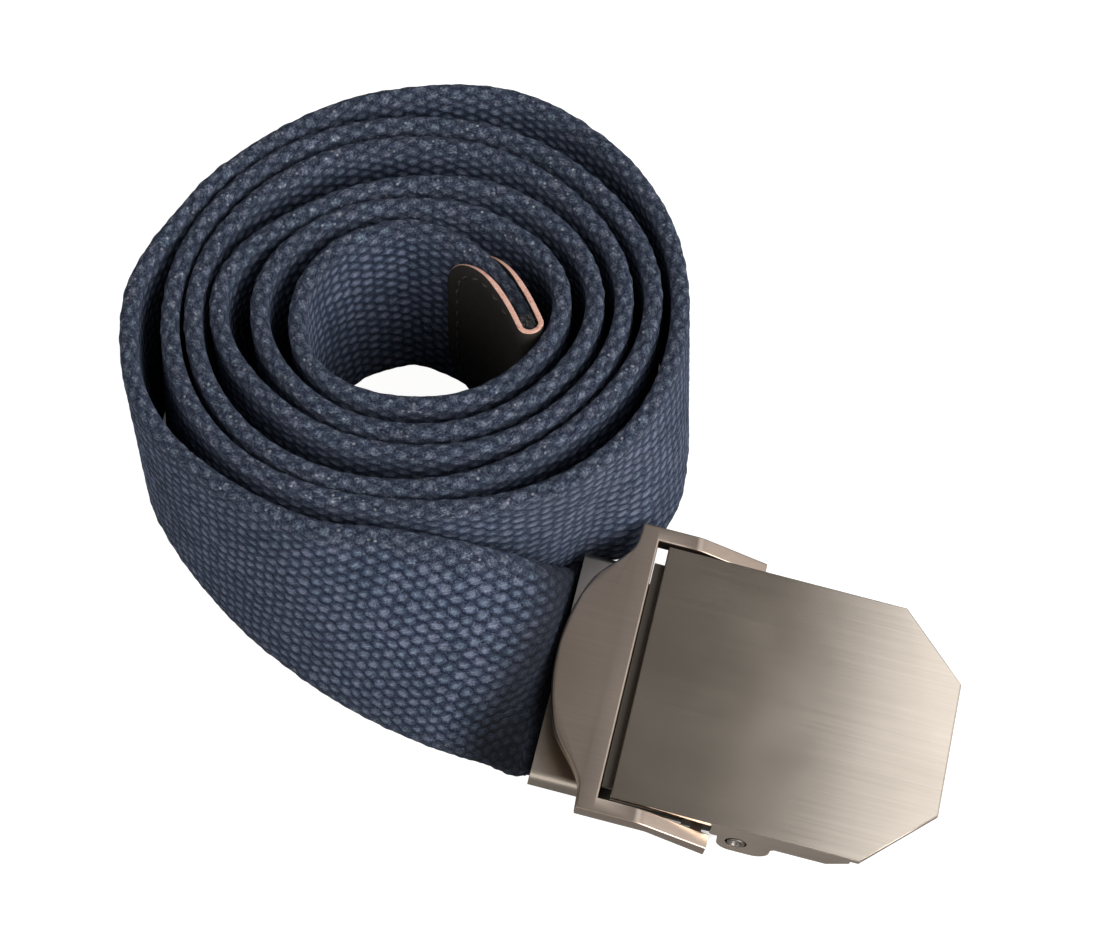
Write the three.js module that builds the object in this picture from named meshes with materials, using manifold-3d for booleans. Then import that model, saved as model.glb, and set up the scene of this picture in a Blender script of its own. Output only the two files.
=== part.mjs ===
// A woven web belt, rolled up and standing on its edge, with its flip buckle lying in front.
// Millimetres, +Z up. The roll is laid out round its own centre; the last lines move the
// whole belt so that the origin is under the middle of its outer box.
import * as THREE from 'three';
import { mergeVertices } from 'three/addons/utils/BufferGeometryUtils.js';
import Module from 'manifold-3d';

const wasm = await Module();
wasm.setup();

// Driving dimensions of the webbing.
const WEB_WIDTH = 38;
const WEB_THICK = 2.9;
const EDGE_ROUND = 0.8;
const STEP_LENGTH = 3.8;
const FINE_STEP_LENGTH = 1.5;
const FINE_END = 27;

// Driving dimensions of the leather tip.
const LEATHER_THICK = 0.8;
const LEATHER_GAP = 0.3;
const LEATHER_LENGTH = 20.5;
const LEATHER_CORNER = 9;
const LEATHER_HEIGHT = 37.6;
const TIP_WEB_THICK = 2.4;

// Driving dimensions of the buckle, in its own frame: x along the belt, y across it,
// z out of the front face, and the front face at z = 0.
const PLATE_LENGTH = 47.8;
const PLATE_WIDTH = 42.2;
const PLATE_THICK = 1.2;
const PLATE_CHAMFER = 10.2;
const PIN_X = 19.8;
const PIN_Z = -5.0;
const PIN_RADIUS = 1.35;
const FLANGE_START = 15.5;
const FLANGE_TOP_END = 36.4;
const FLANGE_LOW_END = 33.3;
const FLANGE_DEPTH = 4.2;
const LOBE_START = 17;
const LOBE_END = 25;
const LOBE_DEPTH = 8.5;
const KEEPER_HALF = 24;
const KEEPER_INNER = 21.6;
const KEEPER_THICK = 2.0;
const KEEPER_RIGHT = -1.7;
const ARM_BEND = 5.5;
const ARM_END = 15.5;
const ARM_DROP = 3.1;
const ARM_DEPTH = 2.7;
const TAB_START = 12.6;
const TAB_END = 14.3;
const GRIP_START = -1.5;
const GRIP_END = 0.6;
const GRIP_TOP = -2.2;
const GRIP_LOW = -2.9;
const GRIP_HALF = 18.8;
const CLAMP_LEFT = -12.1;
const CLAMP_RIGHT = -2.2;
const CLAMP_TOP = -6.3;
const CLAMP_SHEET = 0.8;
const CLAMP_HALF = 19.3;
const CLAMP_OFFSET = 0.7;
const CLAMP_DEPTH = 4.4;
const CLAMP_WEB_THICK = 2.2;
const CLAMP_WEB_HALF = 18.2;
const FLOOR_TOP = -7.5;
const FLOOR_SHEET = 0.9;
const FLOOR_END = 24;
const EAR_HALF = 19.1;
const EAR_SHEET = 1.2;
const EAR_START = 11.5;

// Where the buckle lies beside the roll: the middle of the plate's left edge, and its turns.
const BUCKLE_PLACE = [35.35, -50.56, 11.75];
const BUCKLE_YAW = -12.85;
const BUCKLE_DIP = 6.9;
const BUCKLE_BANK = 1.4;

// Radius of the webbing's middle line from the roll's centre, one row per turn, outermost
// first. The columns go round the roll as the webbing does:
// left, back left, back, back right, right, front right, front, front left.
const TURNS = [
  [41.2, 35.8, 37.4, 40.6, 41.4, 41.2, 36.9, 37.0],
  [35.0, 32.6, 31.7, 33.9, 37.4, 34.5, 33.6, 33.3],
  [31.7, 28.7, 27.9, 29.7, 33.0, 30.7, 27.7, 27.0],
  [28.0, 21.4, 20.3, 24.2, 28.6, 26.4, 24.1, 22.8],
  [21.8, 18.1, 16.2, 18.7, 23.6, 21.8, 19.5, 18.7],
  [15.6, 13.2],
];

// The inner end leaves the roll and stops in the hollow. x and y from the roll's centre.
const TIP_PATH = [
  { x: -0.6, y: 12.3 },
  { x: 3.9, y: 11.3 },
  { x: 7.9, y: 9.2 },
  { x: 11.4, y: 6.2 },
  { x: 14.2, y: 2.9 },
  { x: 16.2, y: -0.6 },
  { x: 17.3, y: -3.4 },
  { x: 18.3, y: -6.4 },
];

// The outer end turns from upright to flat on its way to the buckle. Each row is one
// section, from the buckle backwards: the lower long edge, the upper one, and how far
// the middle bulges out between them.
const RUN_OUT = [
  { lowX: 17.2, lowY: -64.7, lowZ: 4.25, upX: 24.75, upY: -30.7, upZ: 6.7, bulge: 0 },
  { lowX: 15.5, lowY: -64.5, lowZ: 4.2, upX: 24.1, upY: -32.8, upZ: 10.9, bulge: 1.2 },
  { lowX: 12.6, lowY: -62.8, lowZ: 3.6, upX: 21.6, upY: -36.9, upZ: 19.5, bulge: 2.4 },
  { lowX: 8.9, lowY: -61.1, lowZ: 2.8, upX: 17.0, upY: -39.0, upZ: 26.3, bulge: 3.2 },
  { lowX: 3.6, lowY: -58.7, lowZ: 2.1, upX: 10.8, upY: -39.9, upZ: 31.2, bulge: 3.4 },
  { lowX: -2.4, lowY: -55.5, lowZ: 1.5, upX: 4.2, upY: -40.2, upZ: 34.4, bulge: 2.4 },
  { lowX: -8.4, lowY: -51.8, lowZ: 1.0, upX: -2.9, upY: -40.3, upZ: 36.6, bulge: 1.4 },
  { lowX: -16.1, lowY: -46.1, lowZ: 0.6, upX: -11.2, upY: -39.9, upZ: 37.4, bulge: 0.6 },
  { lowX: -24.0, lowY: -39.2, lowZ: 0.45, upX: -19.9, upY: -36.6, upZ: 37.8, bulge: 0.2 },
  { lowX: -30.8, lowY: -31.5, lowZ: 0.3, upX: -28.2, upY: -31.3, upZ: 37.95, bulge: 0 },
  { lowX: -36.2, lowY: -23.9, lowZ: 0.2, upX: -35.2, upY: -24.4, upZ: 38, bulge: 0 },
  { lowX: -40.6, lowY: -14.8, lowZ: 0.1, upX: -40.1, upY: -14.6, upZ: 38, bulge: 0 },
];

// The outermost turn isn't quite even: small swells of its radius at these angles.
const SWELLS = [
  { at: 18, by: -1.25, spread: 12 },
  { at: 112, by: 1.0, spread: 15 },
];

// How far the foot of the webbing stands outside its top edge. The angles run on from
// turn to turn. The buckle's far corner presses the foot inwards near 225 degrees.
const FOOT = [
  { at: 0, by: 0.9 },
  { at: 50, by: 0 },
  { at: 140, by: 0 },
  { at: 180, by: 1.3 },
  { at: 205, by: 2.6 },
  { at: 212, by: 1.8 },
  { at: 224, by: -4.7 },
  { at: 236, by: -3.9 },
  { at: 250, by: -1.5 },
  { at: 268, by: 0 },
  { at: 300, by: 0.3 },
  { at: 330, by: 2.2 },
  { at: 345, by: 3.5 },
  { at: 358, by: 2.6 },
  { at: 374, by: 0.3 },
  { at: 400, by: 0 },
  { at: 570, by: 0 },
  { at: 584, by: -1.2 },
  { at: 594, by: -1.2 },
  { at: 612, by: 0 },
  { at: 930, by: 0 },
  { at: 948, by: -0.6 },
  { at: 970, by: 0 },
];

function buckleMatrix() {
  const yaw = THREE.MathUtils.degToRad(BUCKLE_YAW);
  const dip = THREE.MathUtils.degToRad(BUCKLE_DIP);
  const bank = THREE.MathUtils.degToRad(BUCKLE_BANK);
  const turn = new THREE.Matrix4().makeRotationZ(yaw);
  turn.multiply(new THREE.Matrix4().makeRotationY(dip));
  turn.multiply(new THREE.Matrix4().makeRotationX(bank));
  turn.setPosition(BUCKLE_PLACE[0], BUCKLE_PLACE[1], BUCKLE_PLACE[2]);
  return turn;
}
const BUCKLE = buckleMatrix();

function buckleToRoll(x, y, z) {
  return new THREE.Vector3(x, y, z).applyMatrix4(BUCKLE);
}

const RADII = TURNS.flat();

function cubic(p0, p1, p2, p3, t) {
  const m1 = (p2 - p0) / 2;
  const m2 = (p3 - p1) / 2;
  const t2 = t * t;
  const t3 = t2 * t;
  return (2 * t3 - 3 * t2 + 1) * p1 + (t3 - 2 * t2 + t) * m1
    + (3 * t2 - 2 * t3) * p2 + (t3 - t2) * m2;
}

// Radius of the middle line at a whole number of eighth turns plus a fraction.
function radiusAt(eighths) {
  const last = RADII.length - 1;
  const i = Math.min(Math.max(Math.floor(eighths), 0), last - 1);
  const before = RADII[Math.max(i - 1, 0)];
  const after = RADII[Math.min(i + 2, last)];
  return cubic(before, RADII[i], RADII[i + 1], after, eighths - i);
}

function swellAt(degrees) {
  let sum = 0;
  for (const swell of SWELLS) {
    const off = (degrees - swell.at) / swell.spread;
    sum += swell.by * Math.exp(-off * off);
  }
  return sum;
}

function footAt(degrees) {
  for (let i = 1; i < FOOT.length; i += 1) {
    if (degrees <= FOOT[i].at) {
      const f = (degrees - FOOT[i - 1].at) / (FOOT[i].at - FOOT[i - 1].at);
      const smooth = f * f * (3 - 2 * f);
      return FOOT[i - 1].by + (FOOT[i].by - FOOT[i - 1].by) * smooth;
    }
  }
  return 0;
}

// Coarse points along both long edges, from the end in the clamp to the tip.
function coarseEdges() {
  const rows = [];
  const inClamp = CLAMP_TOP - CLAMP_DEPTH / 2;
  for (const x of [-2.8, -7, -10, CLAMP_LEFT - 0.5]) {
    const low = buckleToRoll(x, CLAMP_OFFSET - CLAMP_WEB_HALF, inClamp);
    const up = buckleToRoll(x, CLAMP_OFFSET + CLAMP_WEB_HALF, inClamp);
    rows.push({ low, up, thick: CLAMP_WEB_THICK, bulge: 0 });
  }
  for (const r of RUN_OUT) {
    rows.push({
      low: new THREE.Vector3(r.lowX, r.lowY, r.lowZ),
      up: new THREE.Vector3(r.upX, r.upY, r.upZ),
      thick: WEB_THICK,
      bulge: r.bulge,
    });
  }
  const lastEighth = RADII.length - 1;
  for (let k = 0; k <= lastEighth; k += 0.25) {
    const degrees = k * 45;
    const angle = THREE.MathUtils.degToRad(180 - degrees);
    const r = radiusAt(k) + swellAt(degrees);
    const foot = r + footAt(degrees);
    rows.push({
      low: new THREE.Vector3(foot * Math.cos(angle), foot * Math.sin(angle), 0),
      up: new THREE.Vector3(r * Math.cos(angle), r * Math.sin(angle), WEB_WIDTH),
      thick: WEB_THICK,
      bulge: 0,
    });
  }
  TIP_PATH.forEach((p, i) => {
    const share = Math.min(Math.max((i - 1) / 3, 0), 1);
    rows.push({
      low: new THREE.Vector3(p.x, p.y, 0),
      up: new THREE.Vector3(p.x, p.y, WEB_WIDTH),
      thick: WEB_THICK + (TIP_WEB_THICK - WEB_THICK) * share,
      bulge: 0,
    });
  });
  return rows;
}

// Even steps along the middle line, with both edges smoothed through the coarse points.
function fineSections() {
  const rows = coarseEdges();
  const lowCurve = new THREE.CatmullRomCurve3(rows.map((r) => r.low), false, 'centripetal');
  const upCurve = new THREE.CatmullRomCurve3(rows.map((r) => r.up), false, 'centripetal');
  const spans = rows.length - 1;
  const sections = [];
  const perSpan = 16;
  let travelled = 0;
  let nextStop = 0;
  let previous = null;
  for (let i = 0; i <= spans * perSpan; i += 1) {
    const t = i / (spans * perSpan);
    const low = lowCurve.getPoint(t);
    const up = upCurve.getPoint(t);
    const mid = low.clone().add(up).multiplyScalar(0.5);
    if (previous) {
      travelled += mid.distanceTo(previous);
    }
    previous = mid;
    const isLast = i === spans * perSpan;
    if (travelled >= nextStop || isLast) {
      const at = t * spans;
      const j = Math.min(Math.floor(at), spans - 1);
      const f = at - j;
      const lowDir = lowCurve.getTangent(t);
      const upDir = upCurve.getTangent(t);
      if (isLast && travelled - (nextStop - STEP_LENGTH) < 1.2) {
        sections.pop();
      }
      sections.push({
        low,
        up,
        lowDir,
        upDir,
        thick: rows[j].thick * (1 - f) + rows[j + 1].thick * f,
        bulge: rows[j].bulge * (1 - f) + rows[j + 1].bulge * f,
        travelled,
      });
      nextStop += travelled < FINE_END ? FINE_STEP_LENGTH : STEP_LENGTH;
    }
  }
  return sections;
}
const SECTIONS = fineSections();

// The outline of one section: a flat band with softened long edges, which never goes
// under the ground or above the roll's top.
function sectionPoints(s) {
  const across = s.up.clone().sub(s.low);
  const width = across.length();
  across.normalize();
  const outLow = new THREE.Vector3().crossVectors(s.lowDir, across).normalize();
  const outUp = new THREE.Vector3().crossVectors(s.upDir, across).normalize();
  const half = s.thick / 2;
  const at = (distance, offset) => {
    const f = distance / width;
    const out = outLow.clone().lerp(outUp, f).normalize();
    const lift = 4 * s.bulge * f * (1 - f) - offset;
    const point = s.low.clone().addScaledVector(across, distance).addScaledVector(out, -lift);
    point.z = Math.min(Math.max(point.z, 0), WEB_WIDTH);
    return point;
  };
  const third = width / 3;
  const soft = half * 0.5;
  return [
    at(0, soft), at(0, -soft), at(EDGE_ROUND, -half), at(third, -half), at(2 * third, -half),
    at(width - EDGE_ROUND, -half), at(width, -soft), at(width, soft),
    at(width - EDGE_ROUND, half), at(2 * third, half), at(third, half), at(EDGE_ROUND, half),
  ];
}

function signedVolume(points, faces) {
  let sum = 0;
  for (const [a, b, c] of faces) {
    sum += points[a].dot(new THREE.Vector3().crossVectors(points[b], points[c]));
  }
  return sum / 6;
}

// Joins equal rings of points into one closed skin with fan ends.
function loft(rings) {
  const points = rings.flat();
  const size = rings[0].length;
  const faces = [];
  for (let i = 0; i < rings.length - 1; i += 1) {
    for (let k = 0; k < size; k += 1) {
      const a = i * size + k;
      const b = i * size + (k + 1) % size;
      faces.push([a, a + size, b], [b, a + size, b + size]);
    }
  }
  const lastRing = (rings.length - 1) * size;
  for (let k = 1; k < size - 1; k += 1) {
    faces.push([0, k, k + 1]);
    faces.push([lastRing, lastRing + k + 1, lastRing + k]);
  }
  if (signedVolume(points, faces) < 0) {
    for (const face of faces) {
      face.reverse();
    }
  }
  const geometry = new THREE.BufferGeometry();
  const flat = points.flatMap((p) => [p.x, p.y, p.z]);
  geometry.setAttribute('position', new THREE.Float32BufferAttribute(flat, 3));
  geometry.setIndex(faces.flat());
  geometry.computeVertexNormals();
  return geometry;
}

function webbing() {
  return loft(SECTIONS.map(sectionPoints));
}

// The leather is one strip folded round the webbing's end: along the outer face, round
// the end, and back along the inner face. Its free corners are rounded.
function tipWrap() {
  const end = SECTIONS[SECTIONS.length - 1].travelled;
  const along = SECTIONS.filter((s) => s.travelled > end - LEATHER_LENGTH - 6);
  const start = end - LEATHER_LENGTH;
  const side = TIP_WEB_THICK / 2 + LEATHER_GAP + LEATHER_THICK / 2;
  const centre = new THREE.CatmullRomCurve3(along.map((s) => new THREE.Vector3(s.low.x, s.low.y, 0)));
  const firstTravel = along[0].travelled;
  const shareOf = (travel) => (travel - firstTravel) / (end - firstTravel);
  const leaf = (sign) => {
    const list = [];
    for (let i = 0; i <= 12; i += 1) {
      const travel = start + (LEATHER_LENGTH * i) / 12;
      const t = shareOf(travel);
      const p = centre.getPointAt(t);
      const d = centre.getTangentAt(t);
      const extra = (0.25 * (end - travel)) / LEATHER_LENGTH;
      const out = new THREE.Vector3(-d.y, d.x, 0).multiplyScalar(sign * (side + extra));
      list.push({ p: p.add(out), fromFree: travel - start });
    }
    return list;
  };
  const outer = leaf(1);
  const inner = leaf(-1);
  const tip = centre.getPointAt(1);
  const dir = centre.getTangentAt(1);
  const sideways = new THREE.Vector3(-dir.y, dir.x, 0);
  const bend = [];
  for (let i = 1; i < 7; i += 1) {
    const a = (Math.PI * i) / 7;
    const forward = LEATHER_GAP + (LEATHER_THICK / 2 + 0.3) * Math.sin(a);
    const p = tip.clone()
      .addScaledVector(dir, forward)
      .addScaledVector(sideways, side * Math.cos(a));
    bend.push({ p, fromFree: LEATHER_LENGTH });
  }
  const path = [...outer, ...bend, ...inner.reverse()];
  const rings = path.map((station, i) => {
    const before = path[Math.max(i - 1, 0)].p;
    const after = path[Math.min(i + 1, path.length - 1)].p;
    const d = after.clone().sub(before).normalize();
    const n = new THREE.Vector3(-d.y, d.x, 0).multiplyScalar(LEATHER_THICK / 2);
    const c = Math.max(0, LEATHER_CORNER - station.fromFree) / LEATHER_CORNER;
    const cut = LEATHER_CORNER * (1 - Math.sqrt(Math.max(0, 1 - c * c)));
    const low = (WEB_WIDTH - LEATHER_HEIGHT) / 2 + cut;
    const high = (WEB_WIDTH + LEATHER_HEIGHT) / 2 - cut;
    return [
      new THREE.Vector3(station.p.x + n.x, station.p.y + n.y, low),
      new THREE.Vector3(station.p.x - n.x, station.p.y - n.y, low),
      new THREE.Vector3(station.p.x - n.x, station.p.y - n.y, high),
      new THREE.Vector3(station.p.x + n.x, station.p.y + n.y, high),
    ];
  });
  return loft(rings);
}

function toSolid(geometry) {
  const bare = geometry.clone();
  bare.deleteAttribute('normal');
  bare.deleteAttribute('uv');
  const merged = mergeVertices(bare, 1e-4);
  return new wasm.Manifold(new wasm.Mesh({
    numProp: 3,
    vertProperties: new Float32Array(merged.attributes.position.array),
    triVerts: new Uint32Array(merged.index.array),
  }));
}

function toGeometry(solid) {
  const mesh = solid.getMesh();
  const geometry = new THREE.BufferGeometry();
  geometry.setAttribute('position', new THREE.Float32BufferAttribute(mesh.vertProperties, 3));
  geometry.setIndex([...mesh.triVerts]);
  geometry.computeVertexNormals();
  return geometry;
}

function box(x0, x1, y0, y1, z0, z1) {
  const geometry = new THREE.BoxGeometry(x1 - x0, y1 - y0, z1 - z0);
  geometry.translate((x0 + x1) / 2, (y0 + y1) / 2, (z0 + z1) / 2);
  return toSolid(geometry);
}

// An outline in x and y, from z0 to z1, with a small softened rim on its top.
function slab(outline, z0, z1, rim) {
  const shape = new THREE.Shape(outline.map(([x, y]) => new THREE.Vector2(x, y)));
  const geometry = new THREE.ExtrudeGeometry(shape, {
    depth: z1 - z0 - 2 * rim,
    bevelEnabled: rim > 0,
    bevelThickness: rim,
    bevelSize: rim,
    bevelOffset: -rim,
    bevelSegments: 2,
    curveSegments: 8,
  });
  geometry.translate(0, 0, z0 + rim);
  return toSolid(geometry);
}

// An outline in x and z, from y0 to y1.
function sideSlab(outline, y0, y1, rim) {
  const shape = new THREE.Shape(outline.map(([x, z]) => new THREE.Vector2(x, z)));
  const geometry = new THREE.ExtrudeGeometry(shape, {
    depth: y1 - y0 - 2 * rim,
    bevelEnabled: rim > 0,
    bevelThickness: rim,
    bevelSize: rim,
    bevelOffset: -rim,
    bevelSegments: 2,
  });
  geometry.rotateX(Math.PI / 2);
  geometry.translate(0, y1 - rim, 0);
  return toSolid(geometry);
}

// A cylinder across the buckle at the pin, to cut holes with.
function pinHole(radius, y0, y1) {
  const geometry = new THREE.CylinderGeometry(radius, radius, y1 - y0, 32);
  geometry.translate(PIN_X, (y0 + y1) / 2, PIN_Z);
  return toSolid(geometry);
}

function arc(cx, cz, radius, from, to, steps) {
  const points = [];
  for (let i = 0; i <= steps; i += 1) {
    const a = THREE.MathUtils.degToRad(from + ((to - from) * i) / steps);
    points.push([cx + radius * Math.cos(a), cz + radius * Math.sin(a)]);
  }
  return points;
}

function flangeOutline() {
  const lowEdge = -FLANGE_DEPTH;
  const lobe = -LOBE_DEPTH;
  return [
    [FLANGE_START, -PLATE_THICK / 2],
    [FLANGE_START, lowEdge + 0.4],
    [FLANGE_START + 0.4, lowEdge],
    [LOBE_START, lowEdge],
    ...arc(LOBE_START + 2.4, lobe + 2.4, 2.4, 180, 270, 8),
    ...arc(LOBE_END - 2.6, lobe + 2.6, 2.6, 270, 360, 8),
    [LOBE_END, lowEdge - 0.5],
    [LOBE_END + 0.5, lowEdge],
    [FLANGE_LOW_END, lowEdge],
    [FLANGE_TOP_END, -PLATE_THICK - 0.6],
    [FLANGE_TOP_END, -PLATE_THICK / 2],
  ];
}

function frontPlate() {
  const half = PLATE_WIDTH / 2;
  const right = PLATE_LENGTH;
  const face = slab([
    [0, -half], [right - PLATE_CHAMFER, -half], [right, -half + PLATE_CHAMFER],
    [right, half - PLATE_CHAMFER], [right - PLATE_CHAMFER, half], [0, half],
  ], -PLATE_THICK, 0, 0.25);
  const near = sideSlab(flangeOutline(), -half, -half + PLATE_THICK, 0);
  const far = sideSlab(flangeOutline(), half - PLATE_THICK, half, 0);
  const camBottom = -4.3;
  const cam = sideSlab([
    [16.8, -PLATE_THICK / 2], ...arc(18.0, camBottom + 1.2, 1.2, 180, 270, 4),
    ...arc(19.6, camBottom + 1.2, 1.2, 270, 360, 4), [20.8, -PLATE_THICK / 2],
  ], -15, 15, 0);
  // A bar across the plate's left end grips the webbing's free end in the slot.
  const gripBar = sideSlab([
    [GRIP_START, GRIP_TOP], [GRIP_START, GRIP_LOW + 0.3], [GRIP_START + 0.3, GRIP_LOW],
    [GRIP_END - 0.3, GRIP_LOW], [GRIP_END, GRIP_LOW + 0.3], [GRIP_END, -PLATE_THICK / 2],
    [0.1, -PLATE_THICK / 2], [0.1, GRIP_TOP],
  ], -GRIP_HALF, GRIP_HALF, 0);
  const holes = pinHole(PIN_RADIUS + 0.3, -half - 1, half + 1);
  const body = face.add(near).add(far);
  return toGeometry(body.subtract(holes).add(cam).add(gripBar));
}

// Left edge of the keeper's plate for a place across it: a shallow arc that flows into
// straight shoulders.
function keeperLeft(y) {
  const side = Math.abs(y);
  const arcLeft = (w) => -12.8 + 33 - Math.sqrt(33 * 33 - w * w);
  const arcHalf = 12.5;
  const shoulder = 20.4;
  const shoulderX = -4.9;
  if (side <= arcHalf) {
    return arcLeft(side);
  }
  if (side >= shoulder) {
    return shoulderX + (side - shoulder) * 0.06;
  }
  const span = shoulder - arcHalf;
  const t = (side - arcHalf) / span;
  const x0 = arcLeft(arcHalf);
  const slope0 = (arcHalf / Math.sqrt(33 * 33 - arcHalf * arcHalf)) * span;
  const slope1 = 0.25 * span;
  const t2 = t * t;
  const t3 = t2 * t;
  return (2 * t3 - 3 * t2 + 1) * x0 + (t3 - 2 * t2 + t) * slope0
    + (3 * t2 - 2 * t3) * shoulderX + (t3 - t2) * slope1;
}

function keeperFrame() {
  const outline = [];
  const half = KEEPER_HALF;
  outline.push([KEEPER_RIGHT, -half], [KEEPER_RIGHT, half]);
  const steps = 44;
  for (let i = 0; i <= steps; i += 1) {
    const y = half - (2 * half * i) / steps;
    outline.push([keeperLeft(y), y]);
  }
  const face = slab(outline.reverse(), -KEEPER_THICK, 0, 0.35);
  const drop = ARM_DROP;
  const armOutline = [
    [-4.6, -0.02], ...arc(ARM_BEND - 1.6, -6, 6, 90, 73, 5),
    [ARM_END, -drop], [ARM_END, -drop - ARM_DEPTH], [ARM_BEND + 0.6, -ARM_DEPTH], [-4.6, -ARM_DEPTH],
  ];
  const near = sideSlab(armOutline, -half, -KEEPER_INNER, 0.25);
  const far = sideSlab(armOutline, KEEPER_INNER, half, 0.25);
  // The arms' ends turn inwards and reach the base's ears.
  const tabTop = -3.4;
  const tabLow = -4.7;
  const nearTab = box(TAB_START, TAB_END, -half + 0.6, -EAR_HALF - 0.3, tabLow, tabTop);
  const farTab = box(TAB_START, TAB_END, EAR_HALF + 0.3, half - 0.6, tabLow, tabTop);
  return toGeometry(face.add(near).add(far).add(nearTab).add(farTab));
}

function clampBase() {
  const low = CLAMP_TOP - CLAMP_DEPTH;
  const inner = CLAMP_HALF - 0.75;
  // The clamp is a flat sleeve with rounded long edges round the webbing's end.
  const r = 1.3;
  const sleeveOutline = [
    ...arc(CLAMP_HALF - r, CLAMP_TOP - r, r, 0, 90, 5),
    ...arc(-CLAMP_HALF + r, CLAMP_TOP - r, r, 90, 180, 5),
    ...arc(-CLAMP_HALF + r, low + r, r, 180, 270, 5),
    ...arc(CLAMP_HALF - r, low + r, r, 270, 360, 5),
  ];
  const shape = new THREE.Shape(sleeveOutline.map(([y, z]) => new THREE.Vector2(y, z)));
  const sleeveGeometry = new THREE.ExtrudeGeometry(shape, {
    depth: CLAMP_RIGHT - CLAMP_LEFT,
    bevelEnabled: false,
  });
  // Turn the outline's plane to stand across the belt: shape x to y, shape y to z.
  sleeveGeometry.applyMatrix4(new THREE.Matrix4().makeBasis(
    new THREE.Vector3(0, 1, 0),
    new THREE.Vector3(0, 0, 1),
    new THREE.Vector3(1, 0, 0),
  ));
  sleeveGeometry.translate(CLAMP_LEFT, CLAMP_OFFSET, 0);
  const sleeve = toSolid(sleeveGeometry);
  const hollowLow = low + CLAMP_SHEET;
  const hollowTop = CLAMP_TOP - CLAMP_SHEET;
  const mouth = box(
    CLAMP_LEFT - 1, CLAMP_RIGHT + 1,
    CLAMP_OFFSET - inner, CLAMP_OFFSET + inner, hollowLow, hollowTop,
  );
  // The floor runs on under the plate, with an ear at each side for the pin.
  const floorLow = FLOOR_TOP - FLOOR_SHEET;
  const rampOutline = [
    [CLAMP_RIGHT - 0.6, low], [CLAMP_RIGHT + 1.2, low], [CLAMP_RIGHT + 4.6, floorLow],
    [FLOOR_END, floorLow], [FLOOR_END, FLOOR_TOP], [CLAMP_RIGHT + 4.2, FLOOR_TOP],
    [CLAMP_RIGHT + 0.8, low + CLAMP_SHEET], [CLAMP_RIGHT - 0.6, low + CLAMP_SHEET],
  ];
  const floor = sideSlab(rampOutline, -EAR_HALF + 0.3, EAR_HALF - 0.3, 0);
  const earOutline = [
    [EAR_START, floorLow], [FLOOR_END, floorLow], ...arc(FLOOR_END - 2.5, -3.3 - 2.5, 2.5, 0, 90, 6),
    ...arc(EAR_START + 2.5, -3.3 - 2.5, 2.5, 90, 180, 6),
  ];
  const nearEar = sideSlab(earOutline, -EAR_HALF, -EAR_HALF + EAR_SHEET, 0);
  const farEar = sideSlab(earOutline, EAR_HALF - EAR_SHEET, EAR_HALF, 0);
  const holes = pinHole(PIN_RADIUS + 0.05, -EAR_HALF - 1, EAR_HALF + 1);
  const body = sleeve.subtract(mouth).add(floor).add(nearEar).add(farEar);
  return toGeometry(body.subtract(holes));
}

// One short rivet at each side: a head inside the ear, a shank through ear and flange,
// and a dished outer end.
function rivet(side) {
  const profile = [
    [0, EAR_HALF - EAR_SHEET - 0.9],
    [2.1, EAR_HALF - EAR_SHEET - 0.9],
    [2.1, EAR_HALF - EAR_SHEET - 0.3],
    [PIN_RADIUS, EAR_HALF - EAR_SHEET - 0.3],
    [PIN_RADIUS, PLATE_WIDTH / 2 + 0.15],
    [0.95, PLATE_WIDTH / 2 + 0.2],
    [0.75, PLATE_WIDTH / 2 - 0.5],
    [0, PLATE_WIDTH / 2 - 0.5],
  ];
  const geometry = new THREE.LatheGeometry(profile.map(([r, y]) => new THREE.Vector2(r, y)), 28);
  if (side < 0) {
    geometry.rotateX(Math.PI);
  }
  geometry.translate(PIN_X, 0, PIN_Z);
  return toGeometry(toSolid(geometry));
}

// Materials.
const webCloth = new THREE.MeshStandardMaterial({ color: 0x343e54, roughness: 0.92 });
const blackLeather = new THREE.MeshStandardMaterial({ color: 0x16130f, roughness: 0.55 });
const brushedNickel = new THREE.MeshStandardMaterial({
  color: 0x8d857b,
  roughness: 0.38,
  metalness: 1,
});
const polishedNickel = new THREE.MeshStandardMaterial({
  color: 0x9b958c,
  roughness: 0.28,
  metalness: 1,
});

function piece(name, geometry, material) {
  const mesh = new THREE.Mesh(geometry, material);
  mesh.name = name;
  return mesh;
}

const belt = new THREE.Group();
belt.add(piece('webbing', webbing(), webCloth));
belt.add(piece('tip_wrap', tipWrap(), blackLeather));

const buckle = new THREE.Group();
buckle.add(piece('clamp_base', clampBase(), polishedNickel));
buckle.add(piece('keeper_frame', keeperFrame(), brushedNickel));
buckle.add(piece('front_plate', frontPlate(), brushedNickel));
buckle.add(piece('near_rivet', rivet(-1), polishedNickel));
buckle.add(piece('far_rivet', rivet(1), polishedNickel));
buckle.applyMatrix4(BUCKLE);
belt.add(buckle);

// Put the origin under the middle of the belt's outer box.
belt.updateMatrixWorld(true);
const outer = new THREE.Box3().setFromObject(belt, true);
const middle = outer.getCenter(new THREE.Vector3());
belt.position.set(-middle.x, -middle.y, -outer.min.z);
belt.updateMatrixWorld(true);

export default belt;
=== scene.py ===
# %% [markdown]
# A rolled web belt with a flip buckle
#
# This lesson dresses a work belt that stands on its edge as a spiral. Its outer end
# twists flat and runs into a metal buckle. The cloth, the leather tip and the brushed
# metal are each made in their own cells. Lengths are written in millimetres, and turned
# to metres where Blender gets them.

# %% Load the fixed frame
import math

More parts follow.
